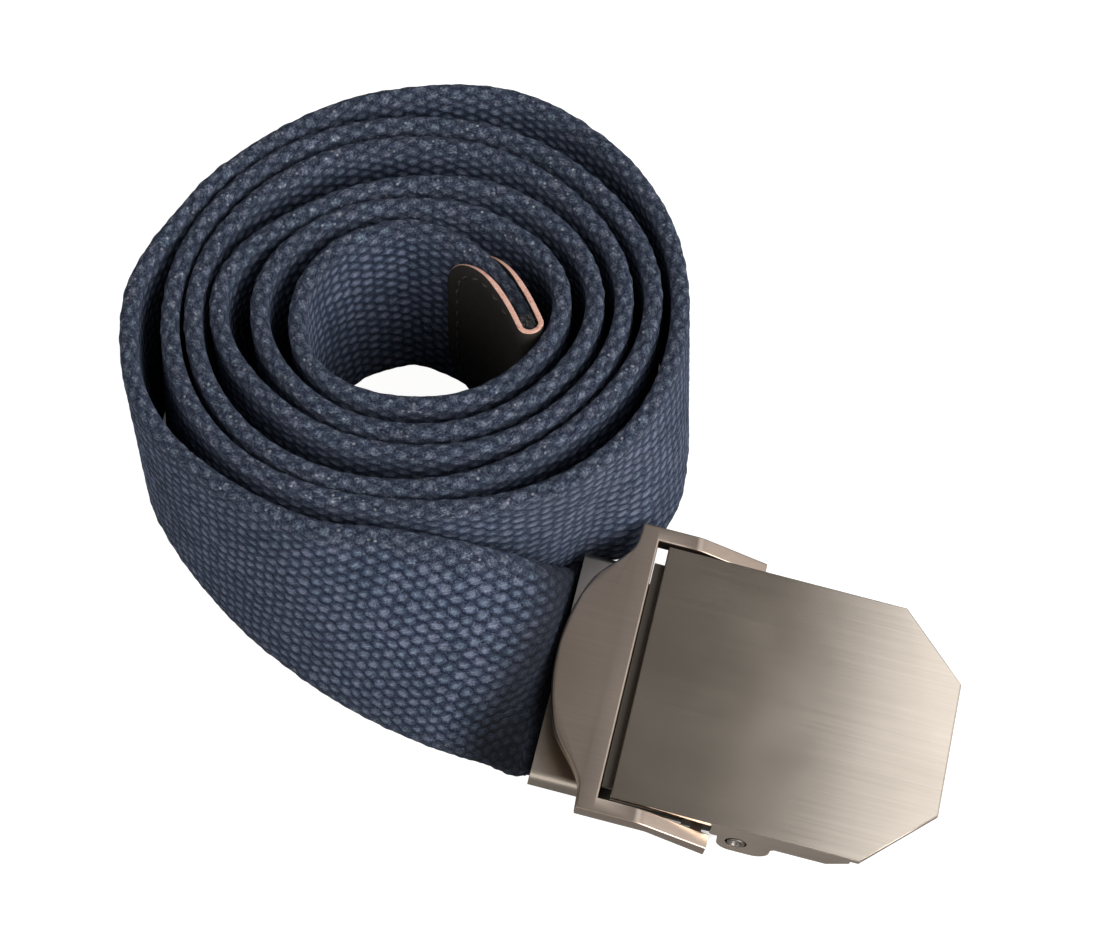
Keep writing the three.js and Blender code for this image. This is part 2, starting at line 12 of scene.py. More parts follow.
import bpy
import numpy as np
from mathutils import Euler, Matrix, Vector


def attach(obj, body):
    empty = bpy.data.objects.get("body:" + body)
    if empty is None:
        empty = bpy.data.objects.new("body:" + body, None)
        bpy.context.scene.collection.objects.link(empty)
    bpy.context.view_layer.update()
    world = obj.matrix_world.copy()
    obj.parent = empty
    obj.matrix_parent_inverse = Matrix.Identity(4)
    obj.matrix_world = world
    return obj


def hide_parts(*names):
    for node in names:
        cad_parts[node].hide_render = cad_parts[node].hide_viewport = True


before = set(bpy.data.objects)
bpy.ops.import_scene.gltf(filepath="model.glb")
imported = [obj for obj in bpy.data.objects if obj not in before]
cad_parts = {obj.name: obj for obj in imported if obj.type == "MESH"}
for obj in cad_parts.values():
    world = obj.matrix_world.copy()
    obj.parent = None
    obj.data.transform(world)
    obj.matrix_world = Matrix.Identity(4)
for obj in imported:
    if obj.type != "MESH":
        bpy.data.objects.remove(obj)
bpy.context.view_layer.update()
MM = 0.001
# The roll's own centre, measured from the belt's origin.
ROLL_CENTRE = np.array([-20.23490, 19.98112, 0.0])


def set_all(thing, **settings):
    """Sets several attributes of one thing."""
    for key, value in settings.items():
        setattr(thing, key, value)
    return thing


def add_object(name, data, **settings):
    """Adds an object with the given data and settings to the scene."""
    added = bpy.data.objects.new(name, data)
    bpy.context.scene.collection.objects.link(added)
    return set_all(added, **settings)


# %% [markdown]
# The camera
#
# The photo looks down on the belt at 60 degrees. The camera's place and lens come from a
# fit to the roll's top and foot and to the corners of the buckle's plate.

# %% Camera
PICTURE_WIDTH = 1100
# Focal length in pixels of the photo's width.
FOCAL_PIXELS = 2837
SENSOR_WIDTH = 36
CAMERA_FROM_ROLL = np.array([21.8, -236.7, 394.2])
CAMERA_PITCH_DOWN = 60


def place_camera():
    """One camera at the fitted place. It tips down by the pitch and has no roll."""
    lens = set_all(
        bpy.data.cameras.new("photo_camera"), sensor_width=SENSOR_WIDTH, clip_start=0.01,
        lens=FOCAL_PIXELS / PICTURE_WIDTH * SENSOR_WIDTH)
    bpy.context.scene.camera = add_object(
        "photo_camera", lens, location=(CAMERA_FROM_ROLL + ROLL_CENTRE) * MM,
        rotation_euler=(math.radians(90 - CAMERA_PITCH_DOWN), 0, 0))
    print("lens in mm:", round(lens.lens, 2))


place_camera()

# %% [markdown]
# Building shader trees
#
# Every finish below is a small tree of nodes. These helpers add them. A socket can be
# given a value, or another node's output to link from.

# %% Helpers for shader nodes


def fill(node, inputs):
    """Fills a node's inputs, by name or number, with values or links."""
    for key, value in inputs.items():
        socket = node.inputs[key]
        if isinstance(value, bpy.types.NodeSocket):
            node.id_data.links.new(value, socket)
        else:
            socket.default_value = value
    return node


def put(tree, kind, inputs=None, **settings):
    """Adds a node, sets its own settings and fills its inputs."""
    node = tree.nodes.new("ShaderNode" + kind)
    return fill(set_all(node, **settings), inputs or {})


def calc(operation, *values):
    """One math node on up to three values, of which at least one is an output."""
    tree = [v for v in values if isinstance(v, bpy.types.NodeSocket)][0].id_data
    return put(tree, "Math", dict(enumerate(values)), operation=operation).outputs[0]


def scaled(value, times, plus):
    """The first value times the second, plus the third."""
    return calc("MULTIPLY_ADD", value, times, plus)


def product(result, *others):
    """All the values multiplied."""
    for value in others:
        result = calc("MULTIPLY", result, value)
    return result


def add_shares(total, *shares):
    """The first value, plus each of the others times its own share."""
    for value, share in shares:
        total = scaled(value, share, total)
    return total


def blend(share, first, second):
    """Goes from the first value at share 0 to the second at share 1."""
    return scaled(share, calc("SUBTRACT", second, first), first)


def ease(value, start, end, first, last, **settings):
    """Goes from first to last while the value goes from start to end."""
    inputs = {0: value, 1: start, 2: end, 3: first, 4: last}
    return put(value.id_data, "MapRange", inputs, **settings).outputs[0]


def split(vector):
    """The x, y and z of a vector."""
    return put(vector.id_data, "SeparateXYZ", {0: vector}).outputs


def join(x, y, z=0.0):
    """A vector from its x, y and z."""
    return put(x.id_data, "CombineXYZ", {0: x, 1: y, 2: z}).outputs[0]


def multiply_vectors(first, second):
    """Two vectors or colours multiplied, number by number."""
    return put(first.id_data, "VectorMath", {0: first, 1: second}, operation="MULTIPLY").outputs[0]


def noise(where, scale, detail=2.0, **more):
    """Smooth noise round 0.5, by place."""
    inputs = {"Vector": where, "Scale": scale, "Detail": detail, **more}
    return put(where.id_data, "TexNoise", inputs).outputs["Fac"]


def mix_colours(factor, first, second):
    """Goes from the first colour at factor 0 to the second at factor 1. A Mix node has
    its colours at inputs 6 and 7 and its mixed colour at output 2."""
    inputs = {0: factor, 6: first, 7: second}
    return put(factor.id_data, "Mix", inputs, data_type="RGBA").outputs[2]


def ramp(factor, stops):
    """A colour ramp. stops is a list of (place, grey value or colour)."""
    node = put(factor.id_data, "ValToRGB", {"Fac": factor})
    elements = node.color_ramp.elements
    while len(elements) > 1:
        elements.remove(elements[-1])
    for i, (place, value) in enumerate(stops):
        element = elements[0] if i == 0 else elements.new(place)
        element.position = place
        colour = (value, value, value) if np.isscalar(value) else value
        element.color = (*colour, 1)
    return node.outputs["Color"]


def bumped(height, strength, distance):
    """The normal of a surface with this relief. The distance is in metres."""
    inputs = {"Strength": strength, "Distance": distance, "Height": height}
    return put(height.id_data, "Bump", inputs).outputs["Normal"]


# %% Helpers for groups and materials


def new_group(name, vector, numbers, outputs):
    """An empty node group with a vector input, number inputs with their defaults, and
    number outputs. Returns the group, its input sockets and its output node."""
    group = bpy.data.node_groups.new(name, "ShaderNodeTree")
    group.interface.new_socket(vector, in_out="INPUT", socket_type="NodeSocketVector")
    for label, default in numbers.items():
        socket = group.interface.new_socket(label, in_out="INPUT", socket_type="NodeSocketFloat")
        socket.default_value = default
    for label in outputs:
        group.interface.new_socket(label, in_out="OUTPUT", socket_type="NodeSocketFloat")
    source = group.nodes.new("NodeGroupInput")
    return group, source.outputs, group.nodes.new("NodeGroupOutput")


def new_material(name):
    """A material with a Principled shader. Returns it with its tree, its shader and the
    place on its object."""
    material = bpy.data.materials.new(name)
    material.use_nodes = True
    tree = material.node_tree
    tree.nodes.clear()
    shader = put(tree, "BsdfPrincipled")
    put(tree, "OutputMaterial", {"Surface": shader.outputs["BSDF"]})
    return material, tree, shader, put(tree, "TexCoord").outputs["Object"]


# %% [markdown]
# Fine grain
#
# Leather, thread and yarn all have a fine, uneven surface. One group gives it: two sizes
# of noise, mixed into one height. Each material sets how big the grain is.

# %% Group for fine grain
# How much finer the fine noise is than the coarse one.
FINER = 3.7


def make_fine_grain():
    """Height from a coarse and a fine noise. Size is the coarse grains per metre."""
    group, source, out = new_group(
        "fine_grain", "Vector", {"Size": 1000.0, "Fine share": 0.5}, ["Height"])
    coarse = noise(source["Vector"], source["Size"])
    fine = noise(source["Vector"], product(source["Size"], FINER))
    fill(out, {"Height": blend(source["Fine share"], coarse, fine)})
    return group


FINE_GRAIN = make_fine_grain()


def grain_at(place, size, fine_share):
    """The height of fine grain in a material."""
    inputs = {"Vector": place, "Size": size, "Fine share": fine_share}
    return put(place.id_data, "Group", inputs, node_tree=FINE_GRAIN).outputs["Height"]


# %% [markdown]
# The webbing's path
#
# The real strap is one long band, 38 mm wide, wound clockwise from the buckle inwards.
# Tables give the radii of each turn, a short path for the inner end, and rows for the
# stretch where the band twists from upright to flat. Both long edges are smooth curves
# through these rows, and everything else follows from them.

# %% Tables for the webbing's path
WEB_WIDTH = 38.0
WEB_THICK = 2.9
CLAMP_WEB_THICK = 2.2
TIP_WEB_THICK = 2.4

# The step, in eighths of a turn, between rows of the wound turns.
ROW_STEP = 0.25

# Radius of the middle line from the roll's centre, one row per turn, outermost first:
# left, back left, back, back right, right, front right, front, front left.
TURNS = [
    [41.2, 35.8, 37.4, 40.6, 41.4, 41.2, 36.9, 37.0],
    [35.0, 32.6, 31.7, 33.9, 37.4, 34.5, 33.6, 33.3],
    [31.7, 28.7, 27.9, 29.7, 33.0, 30.7, 27.7, 27.0],
    [28.0, 21.4, 20.3, 24.2, 28.6, 26.4, 24.1, 22.8],
    [21.8, 18.1, 16.2, 18.7, 23.6, 21.8, 19.5, 18.7],
    [15.6, 13.2],
]

# The inner end: x and y from the roll's centre, how far the low edge stands nearer that
# centre, and how far the top edge is sunk between the leather's two leaves.
TIP_PATH = [
    (-0.6, 12.3, 1.25, 0), (3.9, 11.3, 1.4, 0), (7.9, 9.2, 1.3, 0), (11.4, 6.2, 1.1, 0.05),
    (14.3, 2.9, 0.9, 0.35), (16.4, -0.5, 0.9, 0.5), (17.7, -3.2, 0.9, 0.55), (18.9, -6.1, 0.9, 0.6),
]

# The twisting stretch, from the buckle backwards: the lower edge's x, y and z, the upper
# edge's x, y and z, and the bulge between them.
RUN_OUT = [
    (17.2, -64.7, 4.25, 24.75, -30.7, 6.7, 0),
    (15.5, -64.5, 4.2, 24.1, -32.8, 10.9, 1.2),
    (12.6, -62.8, 3.6, 21.6, -36.9, 19.5, 2.4),
    (8.9, -61.1, 2.8, 17.0, -39.0, 26.3, 3.2),
    (3.6, -58.7, 2.1, 10.8, -39.9, 31.2, 3.4),
    (-2.4, -55.5, 1.5, 4.2, -40.2, 34.4, 2.4),
    (-8.4, -51.8, 1.0, -2.9, -40.3, 36.6, 1.4),
    (-16.1, -46.1, 0.6, -11.2, -39.9, 37.4, 0.6),
    (-24.0, -39.2, 0.45, -19.9, -36.6, 37.8, 0.2),
    (-30.8, -31.5, 0.3, -28.2, -31.3, 37.95, 0),
    (-36.2, -23.9, 0.2, -35.2, -24.4, 38, 0),
    (-40.6, -14.8, 0.1, -40.1, -14.6, 38, 0),
]

# Small swells of the outermost turn: angle, size and spread.
SWELLS = [(18, -1.25, 12), (112, 1.0, 15)]

# How far the foot stands outside the top edge: angle from the roll's left, and distance.
FOOT = [
    (0, 0.9), (50, 0), (140, 0), (180, 1.3), (205, 2.6), (212, 1.8), (224, -4.7),
    (236, -3.9), (250, -1.5), (268, 0), (300, 0.3), (330, 2.2), (345, 3.5), (358, 2.6),
    (374, 0.3), (400, 0), (570, 0), (584, -1.2), (594, -1.2), (612, 0), (930, 0), (948, -0.6),
    (970, 0), (1740, 0), (1800, -0.4), (1845, -1.0),
]

# Where the buckle lies beside the roll, and how it is turned.
BUCKLE_PLACE = np.array([35.35, -50.56, 11.75])
BUCKLE_TURN = Euler([math.radians(a) for a in (1.4, 6.9, -12.85)])
# The flat end inside the clamp, in the buckle's frame: its rows, its middle and half
# width, and its height.
IN_CLAMP = [-2.8, -7, -10, -12.6]
CLAMP_OFFSET = 0.7
CLAMP_WEB_HALF = 18.2
CLAMP_MIDDLE = -8.5

# %% [markdown]
# From tables to two long edges
#
# Between the table's rows the radius runs as a smooth cubic, so a turn has no corners.
# The two edges then become centripetal Catmull-Rom curves, which pass through every row
# without overshooting where the rows lie unevenly.

# %% Edges of the webbing


def cubic(t, first, last, slope_first, slope_last):
    """Goes from first at t 0 to last at t 1 with the given slopes."""
    c2 = 3 * (last - first) - 2 * slope_first - slope_last
    c3 = 2 * (first - last) + slope_first + slope_last
    return first + slope_first * t + c2 * t**2 + c3 * t**3


def spiral_radius(eighths):
    """Radius at a number of eighth turns: a cubic through the table's neighbours."""
    table = np.array([r for row in TURNS for r in row])
    last = len(table) - 1
    i = np.clip(np.floor(eighths).astype(int), 0, last - 1)
    t = eighths - i
    before, here = table[np.maximum(i - 1, 0)], table[i]
    after, beyond = table[i + 1], table[np.minimum(i + 2, last)]
    return cubic(t, here, after, (after - before) / 2, (beyond - here) / 2)


def foot_reach(degrees):
    """Distance of the foot outside the top edge, eased between the table's rows."""
    at, by = np.array(FOOT, float).T
    i = np.clip(np.searchsorted(at, degrees) - 1, 0, len(at) - 2)
    f = np.clip((degrees - at[i]) / (at[i + 1] - at[i]), 0, 1)
    return by[i] + (by[i + 1] - by[i]) * f * f * (3 - 2 * f)


def edge_rows():
    """All rows in order: lower edge, upper edge, thickness and bulge."""
    turn = np.array(BUCKLE_TURN.to_matrix()).T
    low, up = (
        [[[x, CLAMP_OFFSET + half, CLAMP_MIDDLE] for x in IN_CLAMP] @ turn + BUCKLE_PLACE]
        for half in (-CLAMP_WEB_HALF, CLAMP_WEB_HALF))
    run_out = np.array(RUN_OUT, float)
    low.append(run_out[:, 0:3])
    up.append(run_out[:, 3:6])
    eighths = np.arange(0, 8 * len(TURNS) - 7 + ROW_STEP / 2, ROW_STEP)
    degrees = eighths * 45
    swell = sum(by * np.exp(-(((degrees - at) / wide) ** 2)) for at, by, wide in SWELLS)
    radius = spiral_radius(eighths) + swell
    foot = radius + foot_reach(degrees)
    angle = np.radians(180 - degrees)
    turn = np.stack([np.cos(angle), np.sin(angle)], 1)
    flat = np.zeros((len(angle), 1))
    low.append(np.hstack([turn * foot[:, None], flat]))
    up.append(np.hstack([turn * radius[:, None], flat + WEB_WIDTH]))
    tip, lean, sunk = np.split(np.array(TIP_PATH), [2, 3], axis=1)
    nearer = 1 - lean / np.linalg.norm(tip, axis=1, keepdims=True)
    low.append(np.hstack([tip * nearer, 0 * sunk]))
    up.append(np.hstack([tip, WEB_WIDTH - sunk]))
    share = np.clip((np.arange(len(tip)) - 1) / 3, 0, 1)
    thick = np.concatenate([
        np.full(len(IN_CLAMP), CLAMP_WEB_THICK),
        np.full(len(run_out) + len(eighths), WEB_THICK),
        WEB_THICK + (TIP_WEB_THICK - WEB_THICK) * share,
    ])
    bulge = np.zeros(len(thick))
    bulge[len(IN_CLAMP):len(IN_CLAMP) + len(run_out)] = run_out[:, 6]
    return np.vstack(low), np.vstack(up), thick, bulge


def smooth_curve(points, per_span=24):
    """Centripetal Catmull-Rom: spans are timed by the square root of their length."""
    first, last = 2 * points[0] - points[1], 2 * points[-1] - points[-2]
    p = np.vstack([first, points, last])
    wait = np.sqrt(np.linalg.norm(np.diff(p, axis=0), axis=1))[:, None]
    p0, p1, p2, p3 = p[:-3], p[1:-2], p[2:-1], p[3:]
    w0, w1, w2 = wait[:-2], wait[1:-1], wait[2:]
    leave = ((p1 - p0) / w0 - (p2 - p0) / (w0 + w1) + (p2 - p1) / w1) * w1
    arrive = ((p2 - p1) / w1 - (p3 - p1) / (w1 + w2) + (p3 - p2) / w2) * w1
    t = (np.arange(per_span) / per_span)[None, :, None]
    spans = cubic(t, *(ends[:, None] for ends in (p1, p2, leave, arrive)))
    return np.vstack([spans.reshape(-1, 3), points[-1]])


def spread_on_columns():
    """Both edges, thickness and bulge at stops that fall evenly on the weave's columns:
    four stops to a column on the near stretch, three on the rest."""
    low, up, thick, bulge = edge_rows()
    rows = np.arange(len(thick))
    low, up = smooth_curve(low), smooth_curve(up)
    dense_rows = np.linspace(0, rows[-1], len(low))
    steps = np.linalg.norm(np.diff((low + up) / 2, axis=0), axis=1)
    travelled = np.append(0, np.cumsum(steps))
    pitch = np.interp(travelled, *np.array(COLUMN_PITCH).T)
    columns = np.append(0, np.cumsum(2 * steps / (pitch[1:] + pitch[:-1])))
    near = np.round(np.interp(NEAR_STRETCH, travelled, columns))
    stops = np.concatenate([np.arange(0, near, 1 / 4), np.arange(near, columns[-1], 1 / 3)])
    at_stops = np.column_stack([travelled, dense_rows, low, up])
    at_stops = np.stack([np.interp(stops, columns, values) for values in at_stops.T], 1)
    return {
        "columns": stops,
        "travelled": at_stops[:, 0],
        "low": at_stops[:, 2:5],
        "up": at_stops[:, 5:],
        "thick": np.interp(at_stops[:, 1], rows, thick),
        "bulge": np.interp(at_stops[:, 1], rows, bulge),
    }


# Distance along the band, and how far apart the weave's columns are there.
COLUMN_PITCH = [(0, 1.78), (60, 1.80), (95, 2.02), (1100, 2.02)]
NEAR_STRETCH = 130
band = spread_on_columns()
print("webbing length in mm:", round(band["travelled"][-1], 1), "stops:", len(band["columns"]))

# %% [markdown]
# The webbing as a woven surface
#
# Heavy webbing shows plump knuckles of yarn in staggered columns, and they roll over its
# long edges, so they are lifted in the mesh. Round the band, one unit is one row of
# knuckles: 16 on the outer face, 2 over the top edge, 16 on the inner face and 2 under
# the foot. The same count is the UV map, so the shader's relief sits on these knuckles.

# %% Knuckles of the weave
FACE_ROWS = 16
EDGE_ROWS = 2
ALL_ROWS = 2 * (FACE_ROWS + EDGE_ROWS)
KNUCKLE_HEIGHT = 0.30
KNUCKLE_TOP = 0.06
# How sharply a knuckle falls off along the band and round it, and the lowest one's share
# of the full height.
POWER_ALONG = 1.5
POWER_ROUND = 0.6
LOWEST_KNUCKLE = 0.7
# How far the smooth inner face is sunk, as a share of the knuckles' height.
INNER_SINK = 0.4
# How far the long edges bulge where the band is thin, as a share of half its thickness.
PRESSED_EDGE = 0.25
# The lowest and the highest that any point of the band may lie.
LOWEST_POINT = 0.02
HIGHEST_POINT = WEB_WIDTH + 0.06
# Drifts of the weave: waves along the band, waves round it, start and amount.
DRIFTS = [(0.61, 5, 0.4, 0.13), (1.73, 12, 2.1, 0.08)]


def wander(columns, rows):
    """Column and row numbers with an uneven drift added, so that no line of yarn runs
    quite straight: products of sines, each of which repeats once round the band."""
    moved_columns, moved_rows = columns + 0 * rows, rows + 0 * columns
    for along, across, start, amount in DRIFTS:
        wave, ring = along * columns + start, across * 2 * np.pi * rows / ALL_ROWS
        moved_columns += amount * np.sin(wave) * np.cos(ring + start)
        moved_rows += amount * np.sin(1.3 * wave + 2) * np.sin(ring - start)
    return moved_columns, moved_rows


def own_number(columns, rows):
    """A fixed number from 0 to 1 for each knuckle: the fraction of a large sine."""
    wave = np.sin(columns * 12.9898 + np.mod(rows, ALL_ROWS) * 78.233)
    return np.modf(np.abs(wave) * 4375.85)[0]


def knuckles(columns, rows):
    """1 on a tall knuckle's top and 0 in the hollows: the higher of two staggered sets of
    rounded lobes, one on even columns and one on odd columns half a row along. Each
    knuckle has a height of its own."""
    even, odd = (
        np.abs(wave(np.pi * columns / 2)) ** POWER_ALONG * np.abs(wave(np.pi * rows)) ** POWER_ROUND
        for wave in (np.cos, np.sin))
    even_own = own_number(2 * np.round(columns / 2), np.round(rows))
    odd_own = own_number(2 * np.floor(columns / 2) + 1, np.floor(rows) + 0.5)
    return np.maximum(
        even * (LOWEST_KNUCKLE + (1 - LOWEST_KNUCKLE) * even_own),
        odd * (LOWEST_KNUCKLE + (1 - LOWEST_KNUCKLE) * odd_own))


# %% Skin of the band


def round_the_band():
    """Row numbers of the mesh's long lines, close together where the edges curve."""
    outer = np.linspace(0, FACE_ROWS, 2 * FACE_ROWS, endpoint=False)
    top = FACE_ROWS + np.linspace(0, EDGE_ROWS, 6, endpoint=False)
    inner = FACE_ROWS + EDGE_ROWS + np.linspace(0, FACE_ROWS, 12, endpoint=False)
    foot = ALL_ROWS - EDGE_ROWS + np.linspace(0, EDGE_ROWS, 7)
    return np.concatenate([outer, top, inner, foot])


def section_of(rows, width, half):
    """Distance along the width, distance out of the middle, and the outward direction,
    by row. The long edges are half circles, flatter where the band is pressed thin."""
    reach = half * np.interp(2 * half, [TIP_WEB_THICK, WEB_THICK], [PRESSED_EDGE, 1.0])
    straight = width - 2 * reach
    on_top = np.clip((rows - FACE_ROWS) / EDGE_ROWS, 0, 1)
    on_foot = np.clip((rows - ALL_ROWS + EDGE_ROWS) / EDGE_ROWS, 0, 1)
    turned = np.pi / 2 - np.pi * (on_top + on_foot)
    past_outer = np.clip(rows / FACE_ROWS, 0, 1)
    past_inner = np.clip((rows - FACE_ROWS - EDGE_ROWS) / FACE_ROWS, 0, 1)
    along = reach + straight * (past_outer - past_inner) + reach * np.cos(turned)
    return along, half * np.sin(turned), np.cos(turned), np.sin(turned)


def unit(vectors):
    """Vectors scaled to length 1."""
    return vectors / np.linalg.norm(vectors, axis=-1, keepdims=True)


def directions(band):
    """Across the band and out of it at each long edge, at every stop, and its width."""
    across = band["up"] - band["low"]
    width = np.linalg.norm(across, axis=1, keepdims=True)
    across = across / width
    out_low, out_up = (
        unit(np.cross(across, np.gradient(band[edge], axis=0))) for edge in ("low", "up"))
    return across, width, out_low, out_up


def webbing_points(band, rows):
    """Every point of the band's skin: the section laid on the twisted, bulged middle
    surface, then lifted or sunk along its outward direction by the knuckles."""
    across, width, out_low, out_up = directions(band)
    half = band["thick"][:, None] / 2
    along, off, way_along, way_off = section_of(rows[None, :], width, half)
    share = (along / width)[..., None]
    out = unit(out_low[:, None] * (1 - share) + out_up[:, None] * share)
    bulge = 4 * band["bulge"][:, None] * share[..., 0] * (1 - share[..., 0])
    relief = knuckles(*wander(band["columns"][:, None], rows[None, :]))
    inner_middle, inner_half = FACE_ROWS * 1.5 + EDGE_ROWS, FACE_ROWS / 2
    inner_face = np.clip((inner_half + 0.5 - np.abs(rows - inner_middle)) * 2, 0, 1)
    lift = KNUCKLE_TOP - KNUCKLE_HEIGHT * (1 - relief) * (1 - inner_face)
    lift -= KNUCKLE_HEIGHT * INNER_SINK * inner_face
    along = along + lift * way_along
    off = off + lift * way_off + bulge
    points = band["low"][:, None] + across[:, None] * along[..., None] + out * off[..., None]
    points[..., 2] = np.clip(points[..., 2], LOWEST_POINT, HIGHEST_POINT)
    return points


# %% Meshes and pieces


def smooth_mesh(name, vertices, faces):
    """A smoothly shaded mesh, from points in millimetres from the roll's centre."""
    mesh = bpy.data.meshes.new(name)
    mesh.from_pydata((vertices + ROLL_CENTRE) * MM, [], faces)
    mesh.shade_smooth()
    return mesh


def grid_mesh(name, points, numbers=None):
    """A closed tube with lids from a grid of points: each row is one ring, whose last
    point repeats its first. The UV map holds each point's numbers."""
    count, lines = points.shape[0], points.shape[1] - 1
    if numbers is None:
        numbers = np.moveaxis(np.indices(points.shape[:2], float), 0, 2)
    i, j = np.indices((count - 1, lines)).reshape(2, -1)
    start, after = i * lines, i * lines + (j + 1) % lines
    sides = np.stack([start + j, start + lines + j, after + lines, after], 1).tolist()
    lids = [list(range(lines)), list(range(count * lines - 1, (count - 1) * lines - 1, -1))]
    mesh = smooth_mesh(name, points[:, :lines].reshape(-1, 3), sides + lids)
    uv = numbers[np.stack([i, i + 1, i + 1, i], 1), np.stack([j, j, j + 1, j + 1], 1)]
    uv = np.vstack([uv.reshape(-1, 2), numbers[0, :lines], numbers[-1, :lines][::-1]])
    mesh.uv_layers.new(name="weave").data.foreach_set("uv", uv.ravel())
    return mesh


def add_piece(mesh, body, materials):
    """Links a mesh as a piece that rides on a body, and gives its mesh the materials."""
    piece = add_object(mesh.name, mesh)
    for material in materials:
        mesh.materials.append(material)
    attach(piece, body)
    return piece


# %% [markdown]
# The melted end
#
# The inner end of the webbing was melted so that it can't fray, and became a hard, round
# nose. The last rings move ahead on a quarter circle while they lose their thickness.

# %% Rings of the webbing's nose
NOSE_RINGS = 6
NOSE_TURN = 0.47 * np.pi
# Columns of the weave from ring to ring on the nose.
NOSE_STEP = 0.1
MELTED_LENGTH = 2.4


def add_nose(points, band, rows):
    """Rings past the last stop: the thickness shrinks as a cosine while the ring moves
    ahead as a sine."""
    across, width = directions(band)[:2]
    half = band["thick"][-1] / 2
    along = section_of(rows, width[-1, 0], half)[0]
    middle = band["low"][-1] + across[-1] * along[:, None]
    ahead = unit(band["low"][-1] - band["low"][-2])
    angle = np.linspace(0, NOSE_TURN, NOSE_RINGS + 1)[1:, None, None]
    rings = middle + (points[-1] - middle) * np.cos(angle) + ahead * half * np.sin(angle)
    return np.concatenate([points, rings])


row_numbers = round_the_band()
skin = add_nose(webbing_points(band, row_numbers), band, row_numbers)
past_end = band["columns"][-1] + np.arange(1, NOSE_RINGS + 1) * NOSE_STEP
column_numbers = np.concatenate([band["columns"], past_end])
weave_numbers = np.stack(wander(column_numbers[:, None], row_numbers[None, :]), 2)
webbing_mesh = grid_mesh("webbing_cloth", skin, weave_numbers)
print("webbing faces:", len(webbing_mesh.polygons))

# %% [markdown]
# Woven cloth
#
# Up close each knuckle is a plump bundle of cotton, light on its crown and dark in the
# hollow beside it. The shader repeats the formula of the lifted knuckles on the UV map,
# which already holds the weave's drift, and adds what is too fine for a mesh. Its colour
# holds painted shade in the hollows and a painted highlight on one side of each crown.

# %% Group for the weave
# Strands: how far they slant, how far apart the knuckles' noise lies, and its size.
STRAND_SLANT = 0.45
STRAND_SPREAD = (40.0, 17.0)
STRAND_SCALE = 1.3
# Rows from a long edge's middle over which the edge's look fades out.
EDGE_LOOK = (0.9, 2.4)


def make_weave():
    """The same two sets of lobes as the mesh. Each point knows the middle of its own
    knuckle: Tone is a random value for it, Along and Across are the place on it, and
    Strands is thin noise that slants like twisted yarn. Edge is 1 on the long edges."""
    outputs = ["Height", "Tone", "Along", "Across", "Strands", "Fuzz", "Edge"]
    group, source, out = new_group("weave_knuckles", "UV", {"Threads": 6.0}, outputs)
    column, row, _ = split(source["UV"])
    half_column = product(column, 0.5)

    def lobes(wave):
        first = calc("ABSOLUTE", calc(wave, product(column, math.pi / 2)))
        second = calc("ABSOLUTE", calc(wave, product(row, math.pi)))
        return product(calc("POWER", first, POWER_ALONG), calc("POWER", second, POWER_ROUND))

    even, odd = lobes("COSINE"), lobes("SINE")
    is_even = calc("GREATER_THAN", even, odd)
    even_column = product(calc("ROUND", half_column), 2.0)
    odd_column = scaled(calc("FLOOR", half_column), 2.0, 1.0)
    own_column = blend(is_even, odd_column, even_column)
    own_row = blend(is_even, calc("ADD", calc("FLOOR", row), 0.5), calc("ROUND", row))
    along, across = calc("SUBTRACT", column, own_column), calc("SUBTRACT", row, own_row)
    own = put(
        group, "TexWhiteNoise", {"Vector": join(own_column, own_row)}, noise_dimensions="2D")
    own = own.outputs["Value"]
    slant = scaled(along, STRAND_SLANT, across)
    strand_place = join(
        scaled(own, STRAND_SPREAD[0], along), product(slant, source["Threads"]),
        product(own, STRAND_SPREAD[1]))
    from_edge = calc("PINGPONG", calc("SUBTRACT", row, FACE_ROWS + EDGE_ROWS / 2), ALL_ROWS / 4)
    values = [
        calc("MAXIMUM", even, odd), own, along, across, noise(strand_place, STRAND_SCALE),
        noise(source["UV"], 4.5, 4.0, Roughness=0.7), ease(from_edge, *EDGE_LOOK, 1.0, 0.0)]
    fill(out, dict(zip(outputs, values)))
    return group


WEAVE = make_weave()

# %% Webbing material
# Columns before the end where the cloth starts to darken and where it is darkest.
DARKENING_FROM = 7.5
DARKENING_FULL = 2.5
# Columns where the painted shade at the clamp's mouth is full and where it ends. It reaches
# further along the low edge, by this many columns for each row.
MOUTH_COLUMN = 10.4
SHADE_COLUMN = 16.0
LOW_EDGE_SHADE = 0.14
# Colours of the cloth from its hollows to its crowns, with painted shade at the dark end
# and a painted highlight at the light end.
NAVY_WITH_PAINTED_SHADE = [
    (0.0, (0.012, 0.016, 0.034)), (0.35, (0.027, 0.037, 0.073)), (0.60, (0.054, 0.070, 0.120)),
    (0.85, (0.118, 0.148, 0.218)), (1.0, (0.20, 0.24, 0.33))]
LOOSE_FIBRE = (0.21, 0.25, 0.33, 1)
PALE_TUFT = (0.42, 0.46, 0.54, 1)


